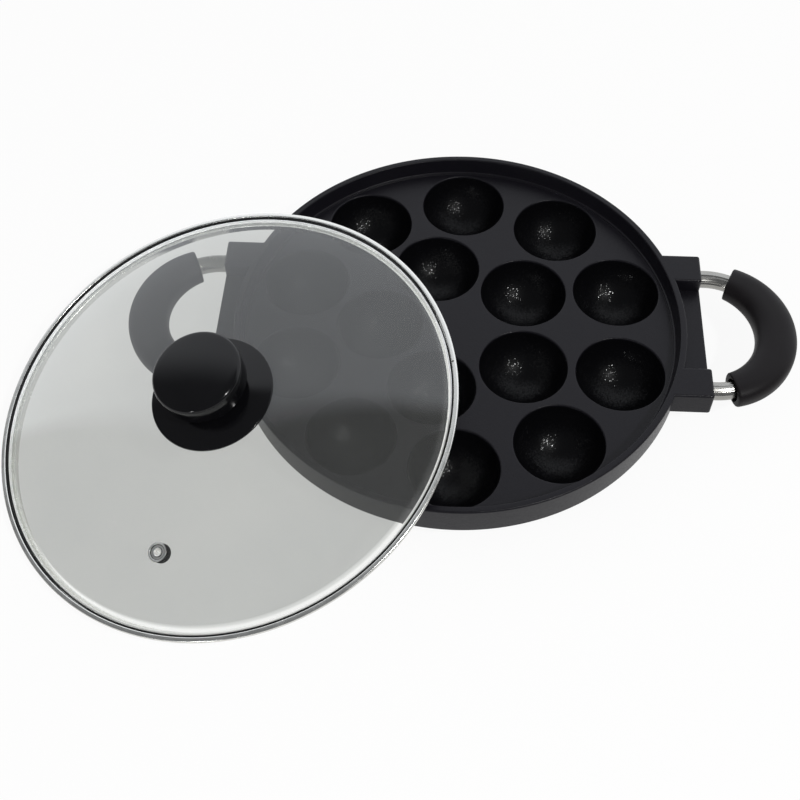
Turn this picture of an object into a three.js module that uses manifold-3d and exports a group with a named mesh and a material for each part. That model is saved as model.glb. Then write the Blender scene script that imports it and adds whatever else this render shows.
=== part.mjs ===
// Round cast pan with fifteen half-round cups, two looped side handles and a loose domed glass lid.
// Millimetres, +Z up. The pan stands on the feet of its cups. The lid is taken off: it leans on the
// front of the rim and over the left grip, with its low edge on the table.
// The pan is built round its own centre, and the whole group is then set so that the origin is the
// centre of the underside of the object's box.

import * as THREE from 'three';
import { mergeVertices } from 'three/addons/utils/BufferGeometryUtils.js';
import Module from 'manifold-3d';

const wasm = await Module();
wasm.setup();

// Gap kept between pieces that touch on the real object, and overrun of every cut past its face.
const seatGap = 0.3;
const cutOverrun = 2;
const degree = Math.PI / 180;

// Pan: plate, rim wall and step at the foot of the wall.
const rimRadius = 120;
const rimWidth = 3.55;
const rimAbovePlate = 9.6;
const rimEdge = 0.6;
const plateThickness = 3.4;
const innerWallDraft = 1.35;
const stepWidth = 0.9;
const stepHeight = 0.85;
const outerWallDraft = 0.5;
const wallFootWidth = 4.9;
const wallBelowPlate = 9;
const rimInnerRadius = rimRadius - rimWidth;
const stepRadius = rimInnerRadius - innerWallDraft;
const stepInnerRadius = stepRadius - stepWidth;
const wallFootRadius = rimRadius - outerWallDraft;
const wallFootInnerRadius = wallFootRadius - wallFootWidth;
const panSegments = 72;

// Cups: ten on the outer circle, near the step, and five on the inner one, near the outer ten.
const cupRadius = 23.08;
const cupDepth = 22.3;
const cupFloor = 3.7;
const cupWall = 3;
const cupFootRadius = 9;
const cupToStep = 1.72;
const cupToCup = 0.54;
const cupSegments = 16;
const cupSteps = 5;
const outerCircleRadius = stepInnerRadius - cupToStep - cupRadius;
const innerCircleRadius = outerCircleRadius - 2 * cupRadius - cupToCup;
const cupRings = [
  { count: 10, circleRadius: outerCircleRadius, firstAngle: 18 * degree },
  { count: 5, circleRadius: innerCircleRadius, firstAngle: 36 * degree },
];
const plateTop = cupDepth + cupFloor;
const rimTop = plateTop + rimAbovePlate;

// Lugs: two blocks as high as the rim with a lower web between them, on each side.
const lugPastRim = 9.3;
const lugLength = 30.5;
const lugBlockInner = 29.2;
const lugBlockWidth = 16.9;
const lugHeight = 15;
const webBelowBlocks = 8.8;
const lugSink = 0.7;
const lugReach = rimRadius + lugPastRim;
const lugRoot = lugReach - lugLength;
const lugBlockOuter = lugBlockInner + lugBlockWidth;
const lugBottom = rimTop - lugHeight;

// Handle loops: bent round tube, pinned in the lug blocks.
const loopRadius = 4.7;
const loopHalfSpan = (lugBlockInner + lugBlockOuter) / 2;
const loopAbovePlate = 1.1;
const loopInLug = 13;
const loopStraight = 3.9;
const loopBow = 34.6;
const loopSides = 10;
const loopSteps = 14;
const loopAxisHeight = plateTop + loopAbovePlate;
const pinRadius = 1.5;
const pinFromLoopEnd = 6;
const pinPastLoop = 2;

// Grips: moulded sleeves round the bow of each loop, with a wider mouth at both ends.
const gripWall = 3.3;
const gripSpread = 2.7;
const gripEndNarrowShare = 0.14;
const gripSquareness = 2.5;
const gripFarAngle = 68 * degree;
const gripNearAngle = 76 * degree;
const gripMouthPlay = 1.5;
const gripMouthShare = 0.16;
const gripSides = 14;
const gripSteps = 14;
const gripScrewRadius = 1.6;
const gripScrewHeadRadius = 3;
const gripScrewHeadHeight = 1.8;
const gripScrewInset = 0.6;
const gripHalfHeight = loopRadius + gripWall;
const gripHalfWidth = gripHalfHeight + gripSpread;
const gripMouthRadius = loopRadius + gripMouthPlay;

// Lid: place of its centre from the pan's rim, direction of its low edge, the gaps that its skirt
// keeps to the table and the rim, and the least gap from its glass to the left grip.
const lidInsetX = 2.2;
const lidInsetY = 56.17;
const lidTiltDirection = 216.5 * degree;
const lidTableGap = 0.2946;
const lidRimGap = 0.35;
const lidGripGap = 0.2;
const lidCentreX = lidInsetX - rimRadius;
const lidCentreY = lidInsetY - rimRadius;
const lidSegments = 64;

// Band: steel lip, wall, flange under the glass and skirt that enters the pan.
const lipPastRim = 0.96;
const lipWidth = 2.6;
const lipHalfHeight = 1.1;
const lipEdge = 0.5;
const bandSheet = 0.7;
const skirtPlay = 1.05;
const skirtDepth = 7.4;
const sealWidth = 0.5;
const sealProud = 0.7;
const lipRadius = rimRadius + lipPastRim;
const lipInnerRadius = lipRadius - lipWidth;
const skirtOuterRadius = rimInnerRadius - skirtPlay;
const skirtInnerRadius = skirtOuterRadius - bandSheet;

// Glass: a dome, flatter at the crown than a ball.
const glassRadius = lipInnerRadius - sealWidth - 2 * seatGap;
const glassThickness = 3.5;
const glassRise = 17;
const glassEdgeHeight = 0.2;
const glassCurve = 2.8;
const glassBorePlay = 1;
const glassSteps = 6;

// Knob: mushroom head with a wide heat guard under it, held by one screw through the glass.
const guardRadius = 31.4;
const guardEdge = 1.2;
const guardRise = 4.2;
const guardSeatRadius = 10;
const guardBorePlay = 0.8;
const knobRadius = 22.6;
const knobNeckRadius = 13.4;
const knobFootRadius = 15;
const knobNeckHeight = 5.4;
const knobSideHeight = 13.1;
const knobSideTaper = 1;
const knobBevel = 2.4;
const knobTopBevel = 1.1;
const knobCrown = 0.8;
const knobSegments = 32;
const gasketRadius = 9;
const gasketThickness = 1;
const washerRadius = 8;
const washerThickness = 1;
const screwRadius = 2.4;
const screwHeadRadius = 4.6;
const screwHeadHeight = 2.6;
const screwTipRoom = 1.95;
const insertRadius = 4.4;
const insertHeight = 14;
const threadClearance = 0.35;
const guardBoreRadius = insertRadius + guardBorePlay;
const glassBoreRadius = screwRadius + glassBorePlay;
const threadRadius = screwRadius + threadClearance;
const insertWall = insertRadius - threadRadius;
const smallSegments = 16;

// Steam vent: eyelet rolled through the glass with a washer below.
const ventCircleRadius = 82.4;
const ventAngle = -103.8 * degree;
const ventBoreRadius = 1.5;
const ventTubeWall = 0.8;
const ventFlangeWidth = 2;
const ventFlangeHeight = 0.9;
const ventTail = 1.6;
const ventTubeRadius = ventBoreRadius + ventTubeWall + seatGap;
const ventFlangeRadius = ventTubeRadius + ventFlangeWidth;

const finishes = {
  castNonStick: { color: 0x2a292c, roughness: 0.45, metalness: 0.3 },
  steel: { color: 0xc9c9c6, roughness: 0.22, metalness: 1 },
  bakelite: { color: 0x2a2628, roughness: 0.5, metalness: 0 },
  glossBakelite: { color: 0x161517, roughness: 0.15, metalness: 0 },
  glass: { color: 0xb9bcb8, roughness: 0.05, metalness: 0, transparent: true, opacity: 0.35 },
  rubber: { color: 0x0d0d0d, roughness: 0.6, metalness: 0 },
  brass: { color: 0xb08d4a, roughness: 0.35, metalness: 1 },
};

const point = (x, y) => new THREE.Vector2(x, y);

// Merges shared corners, drops slivers that a pole leaves, and turns the faces outwards.
function closeShell(geometry) {
  const bare = new THREE.BufferGeometry();
  bare.setAttribute('position', geometry.getAttribute('position').clone());
  if (geometry.index) bare.setIndex(geometry.index.clone());
  const merged = mergeVertices(bare);
  const source = merged.index.array;
  const corners = [];
  for (let i = 0; i < source.length; i += 3) {
    const [a, b, c] = [source[i], source[i + 1], source[i + 2]];
    if (a !== b && b !== c && c !== a) corners.push(a, b, c);
  }
  const place = merged.getAttribute('position');
  const [a, b, c] = [new THREE.Vector3(), new THREE.Vector3(), new THREE.Vector3()];
  let volume = 0;
  for (let i = 0; i < corners.length; i += 3) {
    a.fromBufferAttribute(place, corners[i]);
    b.fromBufferAttribute(place, corners[i + 1]);
    c.fromBufferAttribute(place, corners[i + 2]);
    volume += a.dot(b.cross(c));
  }
  if (volume < 0) corners.reverse();
  merged.setIndex(corners);
  return merged;
}

function toSolid(geometry) {
  const shell = closeShell(geometry);
  return new wasm.Manifold(new wasm.Mesh({
    numProp: 3,
    vertProperties: Float32Array.from(shell.getAttribute('position').array),
    triVerts: Uint32Array.from(shell.index.array),
  }));
}

function toGeometry(solid) {
  const mesh = solid.getMesh();
  const geometry = new THREE.BufferGeometry();
  geometry.setAttribute('position', new THREE.BufferAttribute(Float32Array.from(mesh.vertProperties), 3));
  geometry.setIndex(Array.from(mesh.triVerts));
  return geometry;
}

// A closed profile of (radius, height) points turned about the vertical axis.
function revolve(points, segments) {
  const closed = points.map((p) => point(Math.max(p[0], 0), p[1]));
  if (points[0][0] > 0 || points[points.length - 1][0] > 0) closed.push(closed[0].clone());
  return closeShell(new THREE.LatheGeometry(closed, segments).rotateX(Math.PI / 2));
}

// An upright cylinder between two heights.
function cylinder(radius, low, high, segments) {
  const geometry = new THREE.CylinderGeometry(radius, radius, high - low, segments);
  return geometry.rotateX(Math.PI / 2).translate(0, 0, (low + high) / 2);
}

function box(lowX, highX, lowY, highY, lowZ, highZ) {
  const geometry = new THREE.BoxGeometry(highX - lowX, highY - lowY, highZ - lowZ);
  return geometry.translate((lowX + highX) / 2, (lowY + highY) / 2, (lowZ + highZ) / 2);
}

// Joins equal rings of points into one closed skin with a flat fan at each end.
function loft(rings) {
  const sides = rings[0].length;
  const places = [];
  rings.forEach((ring) => ring.forEach((p) => places.push(p.x, p.y, p.z)));
  const corners = [];
  for (let i = 0; i + 1 < rings.length; i += 1) {
    for (let k = 0; k < sides; k += 1) {
      const next = (k + 1) % sides;
      const here = i * sides;
      const there = here + sides;
      corners.push(here + k, here + next, there + next, here + k, there + next, there + k);
    }
  }
  const last = (rings.length - 1) * sides;
  for (let k = 1; k + 1 < sides; k += 1) {
    corners.push(0, k + 1, k);
    corners.push(last, last + k, last + k + 1);
  }
  const geometry = new THREE.BufferGeometry();
  geometry.setAttribute('position', new THREE.Float32BufferAttribute(places, 3));
  geometry.setIndex(corners);
  return closeShell(geometry);
}

const cupBallRadius = (cupRadius ** 2 + cupDepth ** 2) / (2 * cupDepth);
const cupBallHeight = plateTop - cupDepth + cupBallRadius;

// Points on a ball's underside, from one distance off its axis up to a height.
function ballArc(radius, centreHeight, fromRadius, toHeight, steps) {
  const start = Math.asin(fromRadius / radius);
  const end = Math.acos((centreHeight - toHeight) / radius);
  const points = [];
  for (let i = 0; i <= steps; i += 1) {
    const angle = start + ((end - start) * i) / steps;
    points.push([radius * Math.sin(angle), centreHeight - radius * Math.cos(angle)]);
  }
  return points;
}

function cupPlaces() {
  return cupRings.flatMap(({ count, circleRadius, firstAngle }) => Array.from({ length: count }, (_, i) => {
    const angle = firstAngle + (2 * Math.PI * i) / count;
    return [circleRadius * Math.cos(angle), circleRadius * Math.sin(angle)];
  }));
}

// One side's lug: blocks and web, trimmed clear of the pan's inside.
function lugSolid(side) {
  const along = (near, far) => (side > 0 ? [near, far] : [-far, -near]);
  const [lowX, highX] = along(lugRoot, lugReach);
  let lug = toSolid(box(lowX, highX, -lugBlockInner, lugBlockInner, lugBottom, rimTop - webBelowBlocks));
  for (const end of [-1, 1]) {
    const ys = end > 0 ? [lugBlockInner, lugBlockOuter] : [-lugBlockOuter, -lugBlockInner];
    lug = lug.add(toSolid(box(lowX, highX, ...ys, lugBottom, rimTop)));
  }
  const wallCut = cylinder(rimRadius - lugSink, lugBottom - cutOverrun, rimTop + cutOverrun, panSegments);
  lug = lug.subtract(toSolid(wallCut));
  for (const end of [-1, 1]) {
    const [boreLow, boreHigh] = along(lugReach - loopInLug - seatGap, lugReach + cutOverrun);
    const bore = cylinder(loopRadius + seatGap, boreLow, boreHigh, loopSides * 2);
    bore.rotateY(Math.PI / 2).translate(0, end * loopHalfSpan, loopAxisHeight);
    const pinX = side * (lugReach - loopInLug + pinFromLoopEnd);
    const pinTop = loopAxisHeight + loopRadius + pinPastLoop + seatGap;
    const pinHole = cylinder(pinRadius + seatGap, lugBottom - cutOverrun, pinTop, loopSides);
    pinHole.translate(pinX, end * loopHalfSpan, 0);
    lug = lug.subtract(toSolid(bore)).subtract(toSolid(pinHole));
  }
  return lug;
}

function panCasting() {
  const plateBottom = plateTop - plateThickness;
  const wallBottom = plateTop - wallBelowPlate;
  let pan = toSolid(revolve([
    [0, plateBottom],
    [wallFootInnerRadius, plateBottom],
    [wallFootInnerRadius, wallBottom],
    [wallFootRadius, wallBottom],
    [rimRadius, rimTop - rimEdge],
    [rimRadius - rimEdge, rimTop],
    [rimInnerRadius + rimEdge, rimTop],
    [rimInnerRadius, rimTop - rimEdge],
    [stepRadius, plateTop + stepHeight],
    [stepInnerRadius, plateTop + stepHeight],
    [stepInnerRadius, plateTop],
    [0, plateTop],
  ], panSegments));
  const bossTop = plateTop - plateThickness / 2;
  const boss = revolve([
    [0, 0],
    [cupFootRadius, 0],
    ...ballArc(cupBallRadius + cupWall, cupBallHeight, cupFootRadius, bossTop, cupSteps),
    [0, bossTop],
  ], cupSegments);
  const cavity = revolve([
    ...ballArc(cupBallRadius, cupBallHeight, 0, plateTop, cupSteps),
    [cupRadius, plateTop + cutOverrun],
    [0, plateTop + cutOverrun],
  ], cupSegments);
  for (const [x, y] of cupPlaces()) pan = pan.add(toSolid(boss.clone().translate(x, y, 0)));
  for (const side of [-1, 1]) pan = pan.add(lugSolid(side));
  for (const [x, y] of cupPlaces()) pan = pan.subtract(toSolid(cavity.clone().translate(x, y, 0)));
  return toGeometry(pan);
}

// Middle line of a handle: the bow is half an ellipse that leaves the straight ends at its tips.
const bowStart = lugReach + loopStraight;

function bowPoint(side, angle) {
  const x = side * (bowStart + loopBow * Math.cos(angle));
  return new THREE.Vector3(x, loopHalfSpan * Math.sin(angle), loopAxisHeight);
}

// Unit vector pointing outwards across the bow at that angle.
function bowOutward(side, angle) {
  return new THREE.Vector3(side * loopHalfSpan * Math.cos(angle), loopBow * Math.sin(angle), 0).normalize();
}

// A ring of points round the middle line; squareness 2 is an ellipse, more is boxier.
function section(centre, outward, halfWidth, halfHeight, sides, squareness) {
  return Array.from({ length: sides }, (_, k) => {
    const angle = (2 * Math.PI * k) / sides;
    const bulge = (value) => Math.sign(value) * Math.abs(value) ** (2 / squareness);
    const across = halfWidth * bulge(Math.cos(angle));
    const upward = halfHeight * bulge(Math.sin(angle));
    return centre.clone().addScaledVector(outward, across).add(new THREE.Vector3(0, 0, upward));
  });
}

function loopTube(side) {
  const rings = [];
  const startX = side * (lugReach - loopInLug);
  const addRing = (centre, outward) => {
    rings.push(section(centre, outward, loopRadius, loopRadius, loopSides, 2));
  };
  addRing(new THREE.Vector3(startX, -loopHalfSpan, loopAxisHeight), new THREE.Vector3(0, -1, 0));
  for (let i = 0; i <= loopSteps; i += 1) {
    const angle = -Math.PI / 2 + (Math.PI * i) / loopSteps;
    addRing(bowPoint(side, angle), bowOutward(side, angle));
  }
  addRing(new THREE.Vector3(startX, loopHalfSpan, loopAxisHeight), new THREE.Vector3(0, 1, 0));
  let loop = toSolid(loft(rings));
  const reach = loopRadius + cutOverrun;
  for (const end of [-1, 1]) {
    const hole = cylinder(pinRadius + seatGap, loopAxisHeight - reach, loopAxisHeight + reach, loopSides);
    hole.translate(startX + side * pinFromLoopEnd, end * loopHalfSpan, 0);
    loop = loop.subtract(toSolid(hole));
  }
  const screwHole = cylinder(gripScrewRadius + seatGap, loopAxisHeight - reach, loopAxisHeight, loopSides);
  loop = loop.subtract(toSolid(screwHole.translate(side * (bowStart + loopBow), 0, 0)));
  return toGeometry(loop);
}

function loopPin(side, end) {
  const low = lugBottom + seatGap;
  const pin = cylinder(pinRadius, low, loopAxisHeight + loopRadius + pinPastLoop, loopSides);
  return pin.translate(side * (lugReach - loopInLug + pinFromLoopEnd), end * loopHalfSpan, 0);
}

const gripBottom = loopAxisHeight - gripHalfHeight;

// Rings of a grip's skin and bore, one pair for each step along the bow.
function gripRings(side) {
  return Array.from({ length: gripSteps + 1 }, (_, i) => {
    const share = i / gripSteps;
    const angle = -gripNearAngle + (gripNearAngle + gripFarAngle) * share;
    const fromMiddle = Math.abs(2 * share - 1);
    const narrowed = 1 - gripEndNarrowShare * fromMiddle ** 2;
    const halfWidth = gripHalfWidth * narrowed;
    const halfHeight = gripHalfHeight * narrowed;
    const flare = Math.max(0, (fromMiddle - 1 + gripMouthShare) / gripMouthShare);
    const boreRadius = loopRadius + seatGap + (gripMouthRadius - loopRadius - seatGap) * flare;
    const centre = bowPoint(side, angle);
    const outward = bowOutward(side, angle);
    return {
      skin: section(centre, outward, halfWidth, halfHeight, gripSides, gripSquareness),
      bore: section(centre, outward, boreRadius, boreRadius, loopSides, 2),
    };
  });
}

function grip(side) {
  const rings = gripRings(side);
  const skin = rings.map((ring) => ring.skin);
  const bore = rings.map((ring) => ring.bore);
  const stretch = (ring, neighbour) => {
    const shift = ring[0].clone().sub(neighbour[0]).setLength(cutOverrun);
    return ring.map((p) => p.clone().add(shift));
  };
  bore.unshift(stretch(bore[0], bore[1]));
  bore.push(stretch(bore[bore.length - 1], bore[bore.length - 2]));
  const middleX = side * (bowStart + loopBow);
  const shaftHole = cylinder(gripScrewRadius + seatGap, gripBottom - cutOverrun, loopAxisHeight, loopSides);
  const headTop = gripBottom + gripScrewInset + gripScrewHeadHeight + seatGap;
  const headHole = cylinder(gripScrewHeadRadius + seatGap, gripBottom - cutOverrun, headTop, loopSides);
  return toGeometry(toSolid(loft(skin))
    .subtract(toSolid(loft(bore)))
    .subtract(toSolid(shaftHole.translate(middleX, 0, 0)))
    .subtract(toSolid(headHole.translate(middleX, 0, 0))));
}

function gripScrew(side) {
  const headLow = gripBottom + gripScrewInset;
  const headTop = headLow + gripScrewHeadHeight;
  const tip = loopAxisHeight - seatGap;
  return revolve([
    [0, headLow],
    [gripScrewHeadRadius, headLow],
    [gripScrewHeadRadius, headTop],
    [gripScrewRadius, headTop],
    [gripScrewRadius, tip],
    [0, tip],
  ], loopSides).translate(side * (bowStart + loopBow), 0, 0);
}

// Height of the glass's upper face above the plane through the middle of the band's lip.
function glassTop(radius) {
  return glassEdgeHeight + glassRise * (1 - (radius / glassRadius) ** glassCurve);
}

const glassCrown = glassTop(0);

// The eyelet and its washer stand square on the slope of the glass at the vent.
const ventGlassTop = glassTop(ventCircleRadius);
const ventSlope = Math.atan(
  (glassRise * glassCurve * (ventCircleRadius / glassRadius) ** (glassCurve - 1)) / glassRadius,
);

function placeOnGlass(geometry) {
  geometry.rotateY(ventSlope);
  geometry.translate(ventCircleRadius, 0, ventGlassTop);
  return geometry.rotateZ(ventAngle);
}

function lidGlass() {
  const radii = Array.from({ length: glassSteps + 1 }, (_, i) => {
    const share = Math.sqrt(i / glassSteps);
    return glassBoreRadius + (glassRadius - glassBoreRadius) * share;
  });
  const upper = radii.map((r) => [r, glassTop(r)]);
  const lower = radii.map((r) => [r, glassTop(r) - glassThickness]).reverse();
  const holeLow = -glassThickness - cutOverrun;
  const ventHole = placeOnGlass(cylinder(ventTubeRadius + seatGap, holeLow, cutOverrun, loopSides));
  return toGeometry(toSolid(revolve([...lower, ...upper], lidSegments)).subtract(toSolid(ventHole)));
}

const flangeTop = glassEdgeHeight - glassThickness - seatGap;
const flangeBottom = flangeTop - bandSheet;

function lidBand() {
  const wallOuterRadius = lipInnerRadius + bandSheet;
  return revolve([
    [skirtInnerRadius, -skirtDepth],
    [skirtOuterRadius, -skirtDepth],
    [skirtOuterRadius, flangeBottom],
    [wallOuterRadius, flangeBottom],
    [wallOuterRadius, -lipHalfHeight],
    [lipRadius - lipEdge, -lipHalfHeight],
    [lipRadius, -lipHalfHeight + lipEdge],
    [lipRadius, lipHalfHeight - lipEdge],
    [lipRadius - lipEdge, lipHalfHeight],
    [lipInnerRadius, lipHalfHeight],
    [lipInnerRadius, flangeTop],
    [skirtInnerRadius, flangeTop],
  ], lidSegments);
}

function lidSeal() {
  const innerRadius = lipInnerRadius - seatGap - sealWidth;
  const outerRadius = innerRadius + sealWidth;
  const low = flangeTop + seatGap;
  const high = glassEdgeHeight + sealProud;
  return revolve([
    [innerRadius, low],
    [outerRadius, low],
    [outerRadius, high],
    [innerRadius, high],
  ], lidSegments);
}

function ventEyelet() {
  const tail = -glassThickness - ventTail;
  return placeOnGlass(revolve([
    [ventBoreRadius, tail],
    [ventTubeRadius - seatGap, tail],
    [ventTubeRadius - seatGap, seatGap],
    [ventFlangeRadius, seatGap],
    [ventFlangeRadius - ventFlangeHeight / 2, ventFlangeHeight + seatGap],
    [ventBoreRadius, ventFlangeHeight + seatGap],
  ], smallSegments));
}

function ventWasher() {
  const high = -glassThickness - seatGap;
  const low = high - bandSheet;
  return placeOnGlass(revolve([
    [ventTubeRadius, low],
    [ventFlangeRadius, low],
    [ventFlangeRadius, high],
    [ventTubeRadius, high],
  ], smallSegments));
}

// Heights of the knob's pieces, counted up from the crown of the glass.
const gasketLow = glassCrown + seatGap;
const guardSeat = gasketLow + gasketThickness + seatGap;
const guardEdgeLow = glassTop(guardRadius) + seatGap;
const guardTop = guardEdgeLow + guardEdge + guardRise;
const knobLow = guardTop + seatGap;
const knobNeckTop = knobLow + knobNeckHeight;
const knobSideTop = knobNeckTop + knobSideHeight;

function knobGuard() {
  const sealRingRadius = guardSeatRadius + guardEdge;
  return revolve([
    [guardBoreRadius, guardSeat],
    [guardSeatRadius, guardSeat],
    [sealRingRadius, glassTop(sealRingRadius) + guardEdge],
    [guardRadius - guardEdge, glassTop(guardRadius - guardEdge) + guardEdge / 2],
    [guardRadius, guardEdgeLow],
    [guardRadius, guardEdgeLow + guardEdge],
    [knobFootRadius + guardEdge, guardTop - guardEdge / 2],
    [knobFootRadius, guardTop],
    [guardBoreRadius, guardTop],
  ], knobSegments);
}

const insertLow = guardSeat;
const insertTop = insertLow + insertHeight;
const screwTip = insertTop - insertWall - screwTipRoom;

function knobHead() {
  const boreRadius = insertRadius + seatGap;
  const boreTop = insertTop + seatGap;
  const crown = knobSideTop + knobTopBevel + knobCrown;
  const lowerRadius = knobRadius - knobSideTaper;
  return revolve([
    [boreRadius, knobLow],
    [knobFootRadius - guardEdge, knobLow],
    [knobNeckRadius, knobLow + knobNeckHeight / 4],
    [knobNeckRadius, knobNeckTop - knobNeckHeight / 3],
    [knobNeckRadius + knobBevel, knobNeckTop],
    [lowerRadius - knobTopBevel, knobNeckTop],
    [lowerRadius, knobNeckTop + knobTopBevel / 2],
    [knobRadius, knobSideTop],
    [knobRadius - knobTopBevel, knobSideTop + knobTopBevel],
    [0, crown],
    [0, boreTop],
    [boreRadius, boreTop],
    [boreRadius, knobLow],
  ], knobSegments);
}

function knobInsert() {
  return revolve([
    [threadRadius, insertLow],
    [insertRadius, insertLow],
    [insertRadius, insertTop],
    [0, insertTop],
    [0, insertTop - insertWall],
    [threadRadius, insertTop - insertWall],
    [threadRadius, insertLow],
  ], smallSegments);
}

const lowerGasketLow = glassTop(gasketRadius) - glassThickness - seatGap - gasketThickness;
const washerLow = lowerGasketLow - seatGap - washerThickness;
const screwHeadTop = washerLow - seatGap;

function knobScrew() {
  return revolve([
    [0, screwHeadTop - screwHeadHeight],
    [screwHeadRadius - screwHeadHeight / 2, screwHeadTop - screwHeadHeight],
    [screwHeadRadius, screwHeadTop - screwHeadHeight / 2],
    [screwHeadRadius, screwHeadTop],
    [screwRadius, screwHeadTop],
    [screwRadius, screwTip],
    [0, screwTip],
  ], smallSegments);
}

// A flat ring threaded on the knob's screw.
function screwRing(outerRadius, low, thickness) {
  return revolve([
    [threadRadius, low],
    [outerRadius, low],
    [outerRadius, low + thickness],
    [threadRadius, low + thickness],
  ], smallSegments);
}

// Lean of the lid. Its skirt's low edge stands on the table, and places under it are told by how
// far they lie up the slope from there.
const leanUphill = lidTiltDirection + Math.PI;
const lidDistance = Math.hypot(lidCentreX, lidCentreY);
const lidDirection = Math.atan2(lidCentreY, lidCentreX);

function upSlope(x, y) {
  const alongX = (x - lidCentreX) * Math.cos(leanUphill);
  return skirtOuterRadius + alongX + (y - lidCentreY) * Math.sin(leanUphill);
}

// Height of the lid's underside over the skirt's low edge, at a distance off the lid's axis.
function undersideAboveSkirt(radius) {
  if (radius > lipRadius) return Infinity;
  if (radius > skirtInnerRadius) return 0;
  return skirtDepth + glassTop(radius) - glassThickness;
}

// Tilt that brings a place of the underside to a height over the table.
function tiltToReach(slope, aboveSkirt, height) {
  return Math.asin(height / Math.hypot(slope, aboveSkirt)) - Math.atan2(aboveSkirt, slope);
}

// The skirt crosses the rim's outer circle at the front.
function tiltOverRim() {
  const squares = rimRadius ** 2 - skirtOuterRadius ** 2 + lidDistance ** 2;
  const crossing = lidDirection + Math.acos(squares / (2 * lidDistance * rimRadius));
  const slope = upSlope(rimRadius * Math.cos(crossing), rimRadius * Math.sin(crossing));
  return tiltToReach(slope, 0, rimTop + lidRimGap - lidTableGap);
}

// The whole left grip lies under the lid or behind it.
function tiltOverGrip() {
  return Math.max(...gripRings(-1).flatMap((ring) => ring.skin).map((p) => {
    const aboveSkirt = undersideAboveSkirt(Math.hypot(p.x - lidCentreX, p.y - lidCentreY));
    return tiltToReach(upSlope(p.x, p.y), aboveSkirt, p.z + lidGripGap - lidTableGap);
  }));
}

const lidTilt = Math.max(tiltOverRim(), tiltOverGrip());
const lidHeight = lidTableGap + skirtDepth * Math.cos(lidTilt) + skirtOuterRadius * Math.sin(lidTilt);

function addMesh(group, name, geometry, finish) {
  const flat = geometry.index ? geometry : closeShell(geometry);
  flat.computeVertexNormals();
  const mesh = new THREE.Mesh(flat, new THREE.MeshStandardMaterial(finishes[finish]));
  mesh.name = name;
  group.add(mesh);
}

const object = new THREE.Group();
const pan = new THREE.Group();
const lid = new THREE.Group();
object.add(pan, lid);

addMesh(pan, 'pan_casting', panCasting(), 'castNonStick');
for (const [sideName, side] of [['left', -1], ['right', 1]]) {
  addMesh(pan, `handle_loop_${sideName}`, loopTube(side), 'steel');
  addMesh(pan, `handle_grip_${sideName}`, grip(side), 'bakelite');
  addMesh(pan, `grip_screw_${sideName}`, gripScrew(side), 'steel');
  for (const [endName, end] of [['front', -1], ['back', 1]]) {
    addMesh(pan, `loop_pin_${sideName}_${endName}`, closeShell(loopPin(side, end)), 'steel');
  }
}

addMesh(lid, 'lid_glass', lidGlass(), 'glass');
addMesh(lid, 'lid_band', lidBand(), 'steel');
addMesh(lid, 'lid_seal', lidSeal(), 'rubber');
addMesh(lid, 'vent_eyelet', ventEyelet(), 'steel');
addMesh(lid, 'vent_washer', ventWasher(), 'steel');
addMesh(lid, 'knob_head', knobHead(), 'glossBakelite');
addMesh(lid, 'knob_guard', knobGuard(), 'glossBakelite');
addMesh(lid, 'knob_insert', knobInsert(), 'brass');
addMesh(lid, 'knob_screw', knobScrew(), 'steel');
addMesh(lid, 'knob_gasket_upper', screwRing(gasketRadius, gasketLow, gasketThickness), 'rubber');
addMesh(lid, 'knob_gasket_lower', screwRing(gasketRadius, lowerGasketLow, gasketThickness), 'rubber');
addMesh(lid, 'knob_washer', screwRing(washerRadius, washerLow, washerThickness), 'steel');

const leanAxis = new THREE.Vector3(-Math.sin(lidTiltDirection), Math.cos(lidTiltDirection), 0);
lid.quaternion.setFromAxisAngle(leanAxis, lidTilt);
lid.position.set(lidCentreX, lidCentreY, lidHeight);

object.updateMatrixWorld(true);
const extent = new THREE.Box3().setFromObject(object, true);
const middle = extent.getCenter(new THREE.Vector3());
object.position.set(-middle.x, -middle.y, -extent.min.z);
object.updateMatrixWorld(true);

export default object;
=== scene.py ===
# Takoyaki maker: a round cast pan with looped handles, and its glass lid leaning on one side.
# Sizes in the dictionaries are millimetres, seen from the pan's centre at table height.

import math

import bmesh
import bpy
import numpy as np
from mathutils import Matrix, Vector


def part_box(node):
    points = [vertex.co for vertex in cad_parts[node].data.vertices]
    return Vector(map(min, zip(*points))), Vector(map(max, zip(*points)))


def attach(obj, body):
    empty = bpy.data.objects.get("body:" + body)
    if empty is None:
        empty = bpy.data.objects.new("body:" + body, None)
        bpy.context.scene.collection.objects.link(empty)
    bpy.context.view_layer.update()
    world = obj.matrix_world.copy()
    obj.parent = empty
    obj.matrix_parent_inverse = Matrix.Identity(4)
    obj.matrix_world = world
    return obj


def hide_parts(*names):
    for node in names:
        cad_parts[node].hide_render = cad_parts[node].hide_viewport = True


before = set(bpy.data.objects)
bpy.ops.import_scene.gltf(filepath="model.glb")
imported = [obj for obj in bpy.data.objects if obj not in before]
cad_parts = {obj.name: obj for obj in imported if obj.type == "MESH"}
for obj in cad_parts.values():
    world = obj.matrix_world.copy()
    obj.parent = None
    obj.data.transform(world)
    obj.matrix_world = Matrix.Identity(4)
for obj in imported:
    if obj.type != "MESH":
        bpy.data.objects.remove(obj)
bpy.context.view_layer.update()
mm = 0.001
castLow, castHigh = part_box("pan_casting")
panCentre = np.array([(castLow.x + castHigh.x) / 2, (castLow.y + castHigh.y) / 2, 0.0])
print("frame loaded, pan centre at", panCentre.round(4))


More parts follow.
